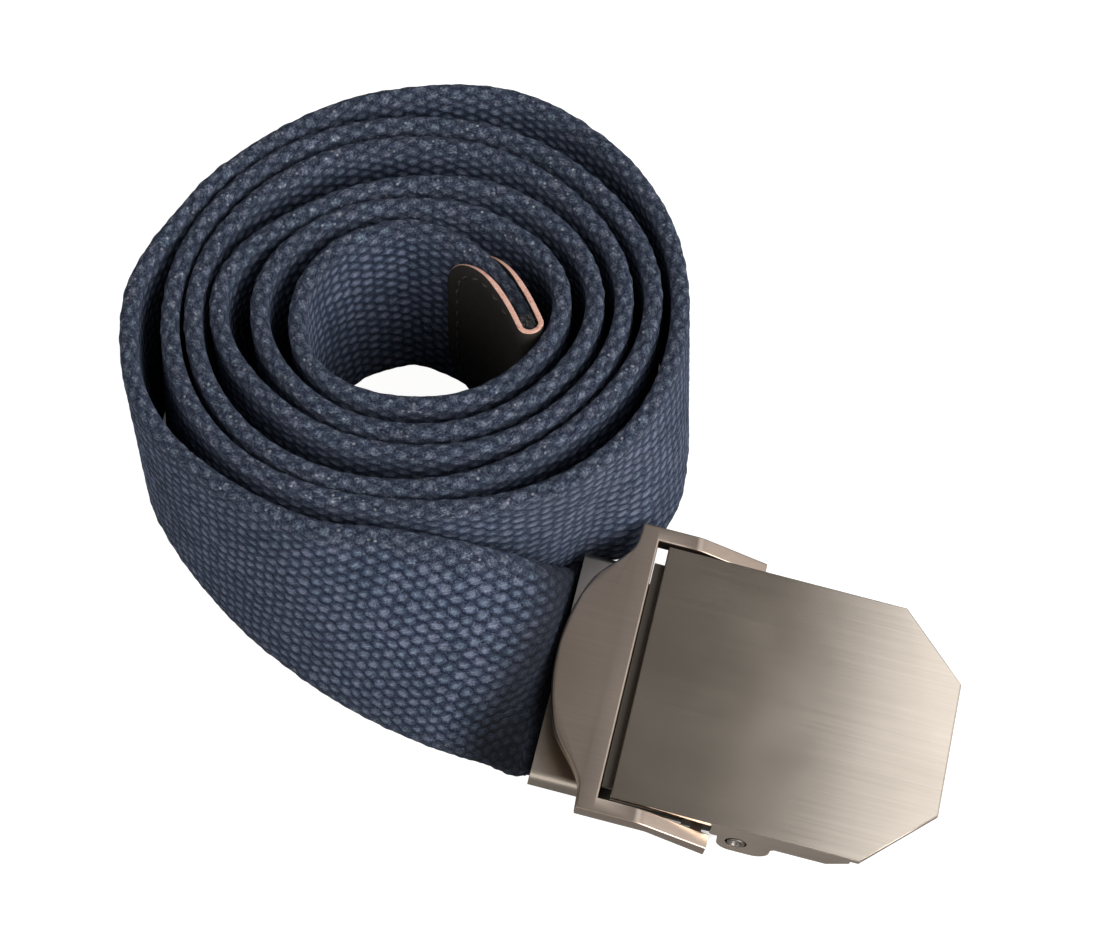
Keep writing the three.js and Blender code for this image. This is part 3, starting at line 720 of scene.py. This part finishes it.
def make_webbing_cloth():
    """Navy cotton: dark blue hollows with painted shade, grey-blue crowns with a painted
    highlight on one side, slanting strands, loose fibres, pale dusty tufts on the rubbed
    long edges, patches of fading, painted shade at the clamp's mouth and along the low
    edge, and a darker stretch before the melted end."""
    material, tree, shader, place = new_material("navy_webbing")
    uv = put(tree, "UVMap", uv_map="weave").outputs["UV"]
    column, row, _ = split(uv)
    weave = put(tree, "Group", {"UV": uv, "Threads": 6.0}, node_tree=WEAVE).outputs
    fuzz, edge, strands = weave["Fuzz"], weave["Edge"], weave["Strands"]
    fibre = grain_at(place, 1700.0, 0.6)

    # The colour's height paints shade into the hollows, and the Along and Across shares paint a
    # highlight on one side of each crown.
    round_crown = calc("POWER", weave["Height"], 1.9)
    crown_with_painted_light = add_shares(
        round_crown, (fuzz, 1.7), (weave["Along"], -0.34), (weave["Across"], 0.34),
        (weave["Tone"], 0.22))
    worn = scaled(fuzz, 2.6, scaled(round_crown, 0.45, -0.1))
    crown_with_painted_light = blend(product(edge, 0.75), crown_with_painted_light, worn)
    colour = ramp(calc("SUBTRACT", crown_with_painted_light, 0.86), NAVY_WITH_PAINTED_SHADE)

    off_loose = calc("SUBTRACT", noise(place, 800.0, 1.0, Distortion=1.2), 0.5)
    line = ramp(calc("ABSOLUTE", off_loose), [(0.0, 0.45), (0.022, 0.0)])
    tufts = put(tree, "TexVoronoi", {"Vector": place, "Scale": 1150.0}).outputs
    chosen = put(tree, "SeparateColor", {0: tufts["Color"]}).outputs[0]
    tuft = product(
        ramp(tufts["Distance"], [(0.10, 1.0), (0.34, 0.0)]), calc("GREATER_THAN", chosen, 0.80),
        scaled(edge, 0.65, 0.15))
    colour = mix_colours(tuft, mix_colours(line, colour, LOOSE_FIBRE), PALE_TUFT)

    hue = mix_colours(weave["Tone"], (0.95, 1.02, 1.0, 1), (1.04, 0.99, 1.0, 1))
    dusty = mix_colours(edge, (1, 1, 1, 1), (1.06, 1.0, 0.92, 1))
    colour = multiply_vectors(colour, multiply_vectors(hue, dusty))
    last_column = float(band["columns"][-1])
    # The cloth gets darker towards the melted end, over the stretch inside the leather's fold.
    darker_near_end = ease(column, last_column - DARKENING_FROM, last_column - DARKENING_FULL, 1.0, 0.25)
    # Painted shade: the cloth darkens towards the clamp's mouth and towards the low edge.
    rows_up = calc("PINGPONG", calc("ADD", row, EDGE_ROWS / 2), ALL_ROWS / 2)
    shade_place = scaled(rows_up, LOW_EDGE_SHADE, column)
    shade_place = calc("SUBTRACT", shade_place, LOW_EDGE_SHADE * ALL_ROWS / 4)
    painted_clamp_shade = ease(
        shade_place, MOUTH_COLUMN, SHADE_COLUMN, 0.07, 1.0, interpolation_type="SMOOTHSTEP")
    tone = product(
        scaled(strands, 1.9, 0.05), scaled(noise(place, 60.0), 0.6, 0.7),
        scaled(fibre, 2.2, -0.1), darker_near_end, painted_clamp_shade)
    toned = put(tree, "VectorMath", {0: colour, "Scale": tone}, operation="SCALE").outputs[0]

    relief = add_shares(round_crown, (strands, 0.4), (fuzz, 0.9), (fibre, 0.4))
    fill(shader, {
        "Base Color": toned, "Normal": bumped(relief, 1.0, 0.0006), "Roughness": 0.85,
        "Specular IOR Level": 0.2, "Sheen Weight": 0.12, "Sheen Roughness": 0.4,
        "Sheen Tint": (0.5, 0.6, 0.9, 1)})
    return material


def make_melted_end():
    """Melted cotton and size: nearly black and glossy, with soft lumps."""
    material, _, shader, place = new_material("melted_end")
    grain = grain_at(place, 1500.0, 0.3)
    colour = ramp(grain, [
        (0.35, (0.002, 0.0025, 0.003)), (0.60, (0.008, 0.009, 0.011)), (0.72, (0.05, 0.055, 0.06))])
    fill(shader, {
        "Base Color": colour, "Normal": bumped(grain, 1.0, 0.002), "Roughness": 0.10, "IOR": 2.1})
    return material


melted = make_melted_end()
webbing = add_piece(webbing_mesh, "belt", [make_webbing_cloth(), melted])
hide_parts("webbing")

# %% Faces of the melted end


def mark_faces(mesh, sides, lids):
    """Gives the faces marked with 1 the second material: the tube's sides, ring by ring,
    then its lids."""
    mesh.polygons.foreach_set("material_index", np.append(sides, lids).astype(np.int32))


melted_from = band["columns"][-1] - MELTED_LENGTH / COLUMN_PITCH[-1][1]
mark_faces(webbing_mesh, np.repeat(column_numbers[:-1] > melted_from, len(row_numbers) - 1), [0, 1])

# %% [markdown]
# The melted bead
#
# Where the cotton melted, a glossy black drop stands at the band's top corner. It is a
# lumpy ball, whose radius swells and shrinks with slow waves over its surface.

# %% Melted bead
# Half sizes along the band, across it and upwards, and how far the middle lies behind
# the band's end and below its top.
BEAD_RADIUS = (1.25, 1.1, 1.15)
BEAD_BACK = 0.35
BEAD_DROP = 1.4
# The sphere is left open by this angle at its poles, where the lids are.
BEAD_LID = 0.08


def make_bead():
    """A sphere of 24 by 14 faces, squashed, with its radius scaled by 1 plus sines."""
    tilts = np.linspace(BEAD_LID, np.pi - BEAD_LID, 15)
    turn, tilt = np.meshgrid(np.linspace(0, 2 * np.pi, 25), tilts)
    lumps = 1 + 0.06 * np.sin(3 * turn + 1) * np.sin(4 * tilt) + 0.04 * np.sin(5 * turn + 3 * tilt)
    ball = np.stack([np.sin(tilt) * np.cos(turn), np.sin(tilt) * np.sin(turn), np.cos(tilt)], 2)
    ahead = unit(band["up"][-1] - band["up"][-3])
    ways = np.array([ahead, [-ahead[1], ahead[0], 0], [0, 0, 1]])
    centre = band["up"][-1] - ahead * BEAD_BACK
    centre[2] = WEB_WIDTH - BEAD_DROP
    points = centre + (ball * np.array(BEAD_RADIUS) * lumps[..., None]) @ ways
    return grid_mesh("melted_bead", points[::-1])


add_piece(make_bead(), "belt", [melted])

# %% [markdown]
# The leather tip
#
# A strip of black leather is folded round the webbing's end and sewn. Its free ends are
# pared thin, and its raw edge is paler than its dyed face. The strip is a rectangle
# carried along a path: along the outer face, round the nose, and back along the inner
# face. Near both free ends its height follows a quarter circle.

# %% Surface of the leather tip
LEATHER_THICK = 0.8
LEATHER_HEIGHT = 37.6
# Lengths of the two leaves, and the radius of their cut corners.
OUTER_LEAF = 17.9
INNER_LEAF = 19.4
LEATHER_CORNER = 9.5
# Gap between leather and cloth, its growth towards the free ends, and how much tighter
# the leather lies at the fold.
LEATHER_GAP = 0.04
LEATHER_FLARE = 0.2
FOLD_TUCK = 0.2
# How round the rim's corners are, and how thin the leather is pared, and over what length.
LEATHER_RIM = 0.07
PARED_SHARE = 0.3
PARED_LENGTH = 11.0
LEATHER_STEP = 0.5
LEATHER_SIDE = TIP_WEB_THICK / 2 + LEATHER_GAP + LEATHER_THICK / 2


def left_of(way):
    """Directions in plan, a quarter turn to the left of others."""
    return np.stack([-way[:, 1], way[:, 0]], 1)


def leather_leaf(edge, length, side):
    """Plan points of one leaf from its free end to the fold, beside the webbing's low or
    up edge, its distances from that end, and the webbing's end with its two directions.
    side is 1 outside, -1 inside."""
    end = band["travelled"][-1]
    travel = np.linspace(end - length, end, int(length / LEATHER_STEP) + 1)
    line = band[edge][:, :2]
    place, way = (
        np.stack([np.interp(travel, band["travelled"], c) for c in values.T], 1)
        for values in (line, unit(np.gradient(line, axis=0))))
    way = unit(way)
    left = left_of(way)
    reach = LEATHER_SIDE + LEATHER_FLARE * (end - travel) / length
    return place + side * left * reach[:, None], travel - travel[0], place[-1], way[-1], left[-1]


def leather_path(edge):
    """Plan points of the strip's middle, each one's distance from its free end, and the
    unit vectors that point out of the fold."""
    outer, outer_from, tip, way, left = leather_leaf(edge, OUTER_LEAF, 1)
    inner, inner_from = leather_leaf(edge, INNER_LEAF, -1)[:2]
    angle = np.linspace(0, np.pi, 19)[1:-1, None]
    forward = LEATHER_GAP + (LEATHER_THICK / 2 + TIP_WEB_THICK / 2 - FOLD_TUCK) * np.sin(angle)
    bend = tip + way * forward + left * LEATHER_SIDE * np.cos(angle)
    path = np.vstack([outer, bend, inner[::-1]])
    from_end = np.concatenate([outer_from, np.full(len(bend), INNER_LEAF), inner_from[::-1]])
    return path, from_end, left_of(unit(np.gradient(path, axis=0)))


def leather_points():
    """Rings round the strip: two broad sides and two narrow rims with softened corners.
    At every height the strip lies between the webbing's low and up edges."""
    low_path, from_end, low_out = leather_path("low")
    up_path, _, up_out = leather_path("up")
    near = np.clip(LEATHER_CORNER - from_end, 0, None) / LEATHER_CORNER
    cut = LEATHER_CORNER * (1 - np.sqrt(1 - near**2))
    low = (WEB_WIDTH - LEATHER_HEIGHT) / 2 + cut
    high = (WEB_WIDTH + LEATHER_HEIGHT) / 2 - cut
    pared = PARED_SHARE + (1 - PARED_SHARE) * np.clip(from_end / PARED_LENGTH, 0, 1) ** 2
    half = (LEATHER_THICK / 2 * pared)[:, None]
    levels = np.linspace(0, 1, 9)
    ring = [(1, 0, z, 0) for z in levels] + [(1, -1, 1, 1), (-1, 1, 1, 1)]
    ring += [(-1, 0, z, 0) for z in levels[::-1]] + [(-1, 1, 0, -1), (1, -1, 0, -1)]
    ring.append(ring[0])
    side, inwards, level, past = np.array(ring).T
    off = (side * half + inwards * LEATHER_RIM)[..., None]
    low, high = low[:, None] + LEATHER_RIM, high[:, None] - LEATHER_RIM
    z = low + (high - low) * level + past * LEATHER_RIM
    share = (z / WEB_WIDTH)[..., None]
    at_low = low_path[:, None] + low_out[:, None] * off
    at_up = up_path[:, None] + up_out[:, None] * off
    return np.concatenate([at_low * (1 - share) + at_up * share, z[..., None]], 2), levels


strip, strip_levels = leather_points()
leather_mesh = grid_mesh("leather_tip", strip)

# %% Leather materials


def make_black_leather():
    """Dyed, finished leather: fine pebbles, a soft gloss and a hint of brown."""
    material, tree, shader, place = new_material("black_leather")
    grain = grain_at(place, 1400.0, 0.4)
    pores = put(tree, "TexVoronoi", {"Vector": place, "Scale": 1700.0}).outputs["Distance"]
    height = scaled(pores, 0.5, grain)
    fill(shader, {
        "Base Color": mix_colours(grain, (0.026, 0.023, 0.019, 1), (0.048, 0.043, 0.037, 1)),
        "Normal": bumped(height, 0.5, 0.0002), "Roughness": scaled(grain, 0.2, 0.40),
        "Specular IOR Level": 0.2})
    return material


def make_raw_edge():
    """The cut edge: undyed fibres, pink to tan, darker where dye has crept in."""
    material, _, shader, place = new_material("raw_leather_edge")
    grain = grain_at(place, 1100.0, 0.6)
    colour = ramp(grain, [
        (0.28, (0.30, 0.12, 0.09)), (0.42, (0.78, 0.42, 0.32)), (0.70, (0.95, 0.62, 0.52))])
    fill(shader, {
        "Base Color": colour, "Normal": bumped(grain, 0.6, 0.00025), "Roughness": 0.8})
    return material


leather = add_piece(leather_mesh, "belt", [make_black_leather(), make_raw_edge()])
# In each ring, the three narrow faces after each broad side show the raw edge.
raw_faces = ([0] * (len(strip_levels) - 1) + [1] * 3) * 2
mark_faces(leather_mesh, np.tile(raw_faces, len(strip) - 1), [1, 1])
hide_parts("tip_wrap")

# %% [markdown]
# Stitches
#
# Each stitch is a short waxed thread that dips into a hole at both ends: a slim rod whose
# ends are narrow and whose middle stands out of the leather. One row of them follows the
# inner leaf's rounded outline.

# %% Stitches in the leather
STITCH_INSET = 2.2
STITCH_PITCH = 2.9
STITCH_LENGTH = 1.7
STITCH_HALF = 0.24
# How far before the fold the straight rows stop.
STITCH_STOP = 2.5
# Rings of a stitch: share of its length and of its half thickness, and how far it stands
# out of the leather.
STITCH_RINGS = [(0, 0.35, -0.10), (0.2, 0.8, 0.06), (0.5, 1.0, 0.12), (0.8, 0.8, 0.06), (1, 0.35, -0.10)]
STITCH_SIDES = 8


def stitch_line():
    """The flap's outline moved inwards: distance from the free end, and height."""
    turn = LEATHER_CORNER - STITCH_INSET
    angle = np.linspace(0, np.pi / 2, 12)
    curve_from = LEATHER_CORNER - turn * np.sin(angle)
    curve_height = (WEB_WIDTH - LEATHER_HEIGHT) / 2 + LEATHER_CORNER - turn * np.cos(angle)
    low = np.stack([
        np.append(INNER_LEAF - STITCH_STOP, curve_from), np.append(curve_height[0], curve_height)], 1)
    return np.vstack([low, (low * [1, -1] + [0, WEB_WIDTH])[::-1]])


def on_inner_leaf(from_end, height):
    """Place on the inner leaf's dyed face, and the direction out of it."""
    i = len(strip) - 1 - int(round(from_end / LEATHER_STEP))
    count = len(strip_levels)
    face, back = strip[i, :count], strip[i, 2 * count + 1:count + 1:-1]
    place, behind = (
        np.array([np.interp(height, side[:, 2], side[:, c]) for c in range(3)])
        for side in (face, back))
    return place, unit(place - behind)


def make_stitches():
    """One rod for each step of the line."""
    line = stitch_line()
    at = np.append(0, np.cumsum(np.linalg.norm(np.diff(line, axis=0), axis=1)))
    share, slimness, lifted = np.array(STITCH_RINGS).T[..., None]
    angle = np.linspace(0, 2 * np.pi, STITCH_SIDES, endpoint=False)[:, None]
    vertices, faces = [], []
    for start in np.arange(0.5, at[-1] - STITCH_LENGTH, STITCH_PITCH):
        (first, out), (last, _) = (
            on_inner_leaf(*(np.interp(stop, at, c) for c in line.T))
            for stop in (start, start + STITCH_LENGTH))
        side = np.cross(out, unit(last - first))
        spine = first + (last - first) * share + out * lifted
        circle = side * np.cos(angle) + out * np.sin(angle)
        base = len(vertices) * len(spine) * STITCH_SIDES
        vertices.append((spine[:, None] + circle * (STITCH_HALF * slimness)[:, None]).reshape(-1, 3))
        rings = base + np.arange(len(spine) * STITCH_SIDES).reshape(-1, STITCH_SIDES)
        after = np.roll(rings, -1, axis=1)
        sides = np.stack([rings[:-1], after[:-1], after[1:], rings[1:]], 2).reshape(-1, 4)
        faces += sides.tolist() + [rings[0, ::-1].tolist(), rings[-1].tolist()]
    return smooth_mesh("tip_stitches", np.vstack(vertices), faces)


def make_waxed_thread():
    """Dark brown thread with wax on it: a soft gloss and a slight twist."""
    material, _, shader, place = new_material("waxed_thread")
    grain = grain_at(place, 2500.0, 0.4)
    fill(shader, {
        "Base Color": mix_colours(grain, (0.02, 0.015, 0.012, 1), (0.10, 0.08, 0.065, 1)),
        "Normal": bumped(grain, 0.5, 0.0002), "Roughness": 0.35})
    return material


stitches = add_piece(make_stitches(), "belt", [make_waxed_thread()])
print("stitch faces:", len(stitches.data.polygons))

# %% [markdown]
# Brushed metal
#
# The buckle's front was brushed along the belt, which left thousands of fine, long
# scratches. One group draws them in the buckle's own frame, so they follow its turn and
# dip, and each metal sets how long and how fine they are. Their relief spreads the lights
# across the grain. The plate is the most polished and the rivets are the dullest.

# %% Group for brushed lines
# The buckle's inside, which gets painted shade and a rougher finish, in its own frame in
# millimetres.
INSIDE_FROM = -2.6
INSIDE_HALF = 19.4
INSIDE_BELOW = -1.5


def in_buckle_frame(place, turn):
    """A place seen from the buckle, turned by its turn or by a part of it."""
    inputs = {"Vector": place, "Location": tuple((BUCKLE_PLACE + ROLL_CENTRE) * MM), "Rotation": turn}
    return put(place.id_data, "Mapping", inputs, vector_type="TEXTURE").outputs[0]


def make_brushed_lines():
    """Long thin noise as height and tone, broad clouds, and a mask that is 1 inside the
    buckle."""
    group, source, out = new_group(
        "brushed_lines", "Vector", {"Lines per metre": 4000.0, "Length share": 0.02},
        ["Height", "Tone", "Cloud", "Inside"])
    fineness = source["Lines per metre"]
    own = in_buckle_frame(source["Vector"], tuple(BUCKLE_TURN))
    long_way = product(fineness, source["Length share"])
    stretched = multiply_vectors(own, join(long_way, fineness, fineness))
    height = scaled(noise(stretched, 0.23), 0.6, noise(stretched, 1.0, 3.0))
    x, y, z = split(own)
    inside = product(
        calc("LESS_THAN", calc("ABSOLUTE", y), INSIDE_HALF * MM),
        calc("LESS_THAN", z, INSIDE_BELOW * MM), calc("GREATER_THAN", x, INSIDE_FROM * MM))
    fill(out, {
        "Height": height, "Tone": scaled(height, 0.5, 0.6),
        "Cloud": noise(own, 70.0), "Inside": inside})
    return group


BRUSHED_LINES = make_brushed_lines()

# %% Metals
DARK_TONE = 0.62
BRIGHT_TONE = 1.10
INSIDE_PAINTED_SHADE = (0.16, 0.14, 0.115, 1)
SHARP_ANGLE = math.radians(35)


def make_nickel(name, colour, roughness, lines, length_share, relief):
    """Nickel plate with brushed lines of a given fineness, length and depth."""
    material, tree, shader, place = new_material(name)
    inputs = {"Vector": place, "Lines per metre": lines, "Length share": length_share}
    brush = put(tree, "Group", inputs, node_tree=BRUSHED_LINES).outputs
    dark, bright = (tuple(tone * c for c in colour) + (1,) for tone in (DARK_TONE, BRIGHT_TONE))
    brushed = mix_colours(product(brush["Tone"], 0.8), dark, bright)
    rough = scaled(brush["Cloud"], 0.10, roughness - 0.05)
    # Inside the buckle the colour is painted shade, and the metal is rougher.
    fill(shader, {
        "Base Color": mix_colours(brush["Inside"], brushed, INSIDE_PAINTED_SHADE), "Metallic": 1.0,
        "Roughness": scaled(brush["Inside"], 0.3, rough),
        "Normal": bumped(brush["Height"], relief, 0.00003)})
    return material


def soften_edges(node, radius):
    """A small round on every sharp edge, so that it catches a line of light."""
    set_all(node.modifiers.new("join_corners", "WELD"), merge_threshold=0.00001)
    set_all(
        node.modifiers.new("rounded_edges", "BEVEL"), width=radius * MM, segments=3,
        limit_method="ANGLE", angle_limit=SHARP_ANGLE, harden_normals=True)
    node.modifiers.new("even_shading", "WEIGHTED_NORMAL")


# Each metal: colour, roughness, lines per metre, their length share and relief, the
# radius of rounded edges in millimetres, and the nodes made of it.
METALS = {
    "plate_nickel": ((0.69, 0.585, 0.485), 0.17, 2800.0, 0.016, 0.13, 0.22, ["front_plate"]),
    "frame_nickel": ((0.56, 0.445, 0.365), 0.30, 2800.0, 0.016, 0.10, 0.15, ["keeper_frame"]),
    "satin_nickel": ((0.66, 0.565, 0.475), 0.30, 6000.0, 0.3, 0.1, 0.40, ["clamp_base"]),
    "dull_nickel": ((0.34, 0.31, 0.28), 0.42, 6000.0, 0.3, 0.1, 0.12, ["near_rivet", "far_rivet"]),
}
for metal_name, (*finish, edge_radius, node_names) in METALS.items():
    metal = make_nickel(metal_name, *finish)
    for node in (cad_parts[name] for name in node_names):
        print(node.name, "slots:", len(node.material_slots), "faces:", len(node.data.polygons))
        for slot in node.material_slots:
            slot.material = metal
        soften_edges(node, edge_radius)

# %% [markdown]
# Floor and light
#
# The photo's ground is pure white. The floor here glows for the camera alone, so that it
# stays white but throws little light back. Under the roll and in narrow gaps, where no
# light gets in, it doesn't glow. A narrow lamp above on the right is what the plate's
# bright end mirrors, turned so that the brightness changes along the plate only. The main
# light is in front on the right, with weaker ones right, left and low in front, and the
# room is dim, so that the rest of the plate stays dark.

# %% Floor
FLOOR_GLOW = 0.97
# The ring of floor that the wound turns cover, by its radii in millimetres.
COVERED_FROM = 15.5
COVERED_TO = 35.5
# Painted shadow behind the gaps of the buckle and the widest gap of the roll: an ellipse's
# middle along and across the buckle, its half sizes, and how dark it is.
SHADED_PATCHES = [
    (6.2, 27.2, 4.0, 1.4, 0.95), (10.8, -18.4, 4.2, 2.4, 0.70),
    (-85.3, 32.8, 2.3, 4.5, 0.95), (-9.3, 59.8, 2.0, 3.0, 0.95),
]
# Where a patch's shade starts to fade and where it ends, as shares of its half size.
PATCH_FADE = (0.5, 1.2)


def make_floor():
    """A large pale floor. The camera sees it nearly white, while the belt gets only the
    soft grey light that paper would throw back."""
    mesh = bpy.data.meshes.new("floor")
    mesh.from_pydata([(-3, -3, 0), (3, -3, 0), (3, 3, 0), (-3, 3, 0)], [], [(0, 1, 2, 3)])
    material, tree, shader, place = new_material("pale_floor")
    fill(shader, {"Base Color": (0.30, 0.30, 0.30, 1), "Roughness": 0.9, "Specular IOR Level": 0.0})
    inputs = {0: place, 1: tuple(ROLL_CENTRE * MM)}
    radius = put(tree, "VectorMath", inputs, operation="DISTANCE").outputs["Value"]
    # Painted shade on the floor: no glow in the ring under the turns, and the glow fades out in each
    # patch.
    floor_shade = product(
        calc("GREATER_THAN", radius, COVERED_FROM * MM), calc("LESS_THAN", radius, COVERED_TO * MM))
    x, y, _ = split(in_buckle_frame(place, (0, 0, BUCKLE_TURN.z)))
    for middle_x, middle_y, half_x, half_y, darkness in SHADED_PATCHES:
        shares = join(
            scaled(x, 1 / (half_x * MM), -middle_x / half_x),
            scaled(y, 1 / (half_y * MM), -middle_y / half_y))
        reach = put(tree, "VectorMath", {0: shares}, operation="LENGTH").outputs["Value"]
        floor_shade = calc("MAXIMUM", floor_shade, ease(reach, *PATCH_FADE, darkness, 0.0))
    strength = scaled(floor_shade, -FLOOR_GLOW, FLOOR_GLOW)
    glow = put(tree, "Emission", {"Color": (1, 0.995, 0.985, 1), "Strength": strength}).outputs[0]
    plain = shader.outputs[0]
    both = put(tree, "AddShader", {0: plain, 1: glow}).outputs[0]
    from_camera = put(tree, "LightPath").outputs["Is Camera Ray"]
    seen = put(tree, "MixShader", {0: from_camera, 1: plain, 2: both}).outputs[0]
    fill(tree.nodes["Material Output"], {"Surface": seen})
    mesh.materials.append(material)
    floor = add_object("floor", mesh)


make_floor()

# %% Lamps and room
ROLL_AIM = (0, 0, 0.02)
ROOM_BRIGHTNESS = 0.12


def add_lamp(name, place, aim, size, watts, colour=(1, 1, 1), turned=0):
    """A rectangular soft lamp at a place, shining at an aim point, and turned about its
    own beam by some degrees. Metres."""
    light = set_all(
        bpy.data.lights.new(name, "AREA"), shape="RECTANGLE", size=size[0], size_y=size[1],
        energy=watts, color=colour)
    towards = (Vector(aim) - Vector(place)).to_track_quat("-Z", "Y").to_euler()
    towards.rotate_axis("Z", math.radians(turned))
    add_object(name, light, location=place, rotation_euler=towards)


def set_room(brightness):
    """An even, dim room."""
    world = bpy.data.worlds.new("room")
    world.use_nodes = True
    fill(world.node_tree.nodes["Background"], {"Color": (1, 0.99, 0.97, 1), "Strength": brightness})
    bpy.context.scene.world = world


set_room(ROOM_BRIGHTNESS)
add_lamp("plate_panel", (0.340, 0.173, 0.60), (0.340, 0.173, 0.0), (0.17, 0.55), 0.42,
         (0.90, 0.95, 1.0), turned=-12)
add_lamp("key_right", (0.53, -0.47, 0.55), ROLL_AIM, (0.6, 0.6), 6.6)
add_lamp("fill_right", (0.85, 0.05, 0.38), ROLL_AIM, (0.8, 0.8), 1.7)
add_lamp("fill_left", (-0.73, -0.27, 0.45), ROLL_AIM, (0.9, 0.9), 2.5)
add_lamp("fill_front", (-0.05, -0.85, 0.32), ROLL_AIM, (0.9, 0.9), 1.7)
bpy.context.scene.view_settings.view_transform = "Standard"
